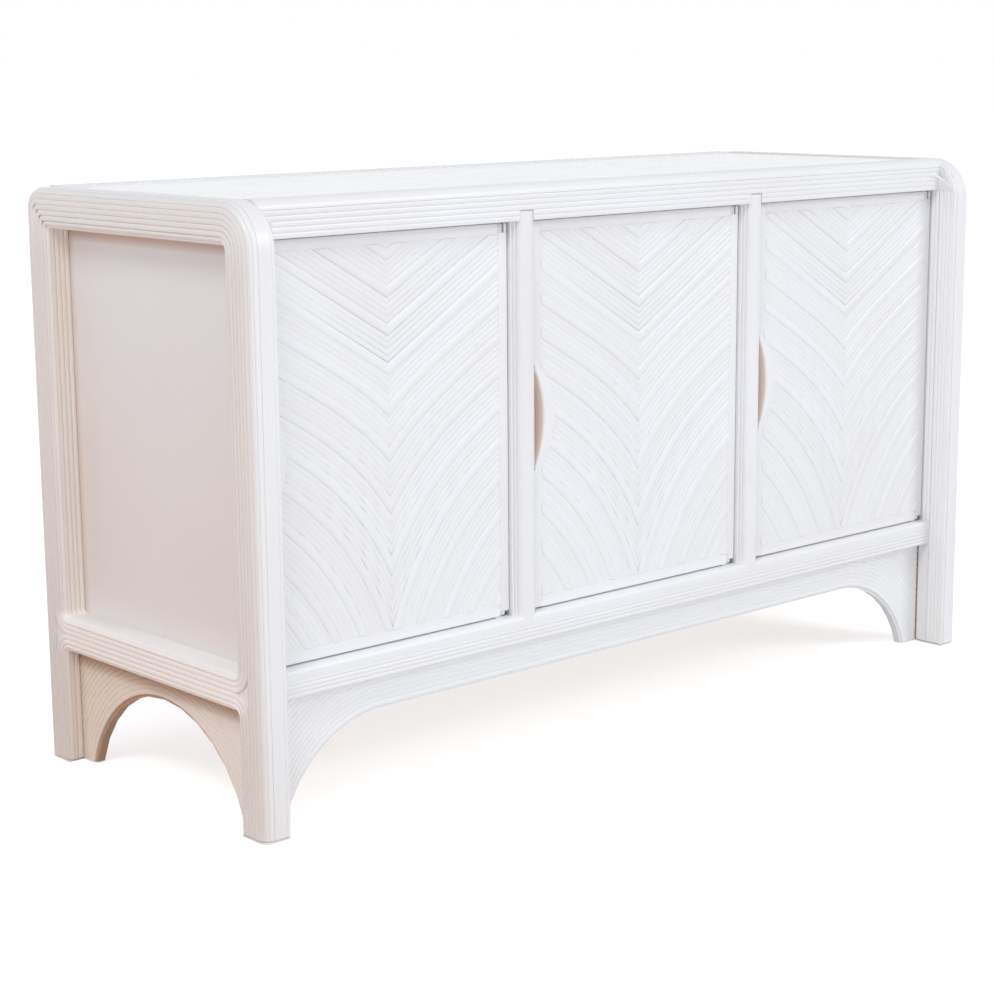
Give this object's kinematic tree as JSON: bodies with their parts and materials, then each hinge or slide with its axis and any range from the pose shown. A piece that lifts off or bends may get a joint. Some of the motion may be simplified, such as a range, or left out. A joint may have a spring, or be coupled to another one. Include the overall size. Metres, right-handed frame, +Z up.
{
  "type": "record cabinet",
  "caption": "Low white reed-clad record cabinet with chevron doors, finger-scoop pulls, rounded end frames and arched aprons.",
  "frame": {"origin": "centre of the footprint at floor level", "axes": "+X to the viewer's right along the width, +Y towards the back, +Z up; the doors face -Y"},
  "size_m": [1.4, 0.506, 0.787],
  "materials": {
    "white_reed": "white-washed split reed under satin lacquer",
    "white_board": "white satin lacquer on solid wood and ply",
    "end_veneer": "smooth warm white end panel, satin",
    "top_lacquer": "smooth white gloss lacquer",
    "inner_board": "pale plywood, thin clear coat",
    "white_metal": "white paint",
    "steel": "zinc plated",
    "catch_plastic": "moulded catch body with magnet",
    "foot_plastic": "glide pad"
  },
  "bodies": {
    "cabinet": {"back_panel": "inner_board", "bottom_board": "inner_board", "door_catches": "catch_plastic", "foot_pads": "foot_plastic", "front_apron": "white_board", "front_apron_reeds": "white_reed", "front_bottom_rail": "white_board", "front_bottom_rail_reeds": "white_reed", "front_top_rail": "white_board", "front_top_rail_reeds": "white_reed", "hinge_frame_plates": "white_metal", "left_end_apron": "white_board", "left_end_apron_reeds": "white_reed", "left_end_bottom_rail": "white_board", "left_end_panel": "end_veneer", "left_end_reeds": "white_reed", "left_end_top_rail": "white_board", "left_front_post": "white_board", "left_rear_post": "white_board", "mullion_left": "white_board", "mullion_reeds": "white_reed", "mullion_right": "white_board", "partition_left": "inner_board", "partition_right": "inner_board", "rear_bottom_rail": "white_board", "rear_top_rail": "white_board", "rear_top_rail_reeds": "white_reed", "right_end_apron": "white_board", "right_end_apron_reeds": "white_reed", "right_end_bottom_rail": "white_board", "right_end_panel": "end_veneer", "right_end_reeds": "white_reed", "right_end_top_rail": "white_board", "right_front_post": "white_board", "right_rear_post": "white_board", "shelf_cleats": "inner_board", "shelf_left": "inner_board", "shelf_middle": "inner_board", "shelf_right": "inner_board", "top_panel": "top_lacquer"},
    "door_left": {"door_left_border": "white_reed", "door_left_hinge_leaves": "white_metal", "door_left_panel": "white_board", "door_left_pull": "white_reed", "door_left_reeds": "white_reed", "door_left_strike": "steel"},
    "door_middle": {"door_middle_border": "white_reed", "door_middle_hinge_leaves": "white_metal", "door_middle_panel": "white_board", "door_middle_pull": "white_reed", "door_middle_reeds": "white_reed", "door_middle_strike": "steel"},
    "door_right": {"door_right_border": "white_reed", "door_right_hinge_leaves": "white_metal", "door_right_panel": "white_board", "door_right_pull": "white_reed", "door_right_reeds": "white_reed", "door_right_strike": "steel"}
  },
  "joints": [
    {"name": "door_left_hinge", "type": "hinge", "parent": "cabinet", "child": "door_left", "pos_m": [-0.2605, -0.2015, 0], "axis": [0, 0, 1], "range_deg": [0, 95]},
    {"name": "door_middle_hinge", "type": "hinge", "parent": "cabinet", "child": "door_middle", "pos_m": [0.1935, -0.2015, 0], "axis": [0, 0, 1], "range_deg": [0, 95]},
    {"name": "door_right_hinge", "type": "hinge", "parent": "cabinet", "child": "door_right", "pos_m": [0.6475, -0.2015, 0], "axis": [0, 0, 1], "range_deg": [0, 95]}
  ]
}
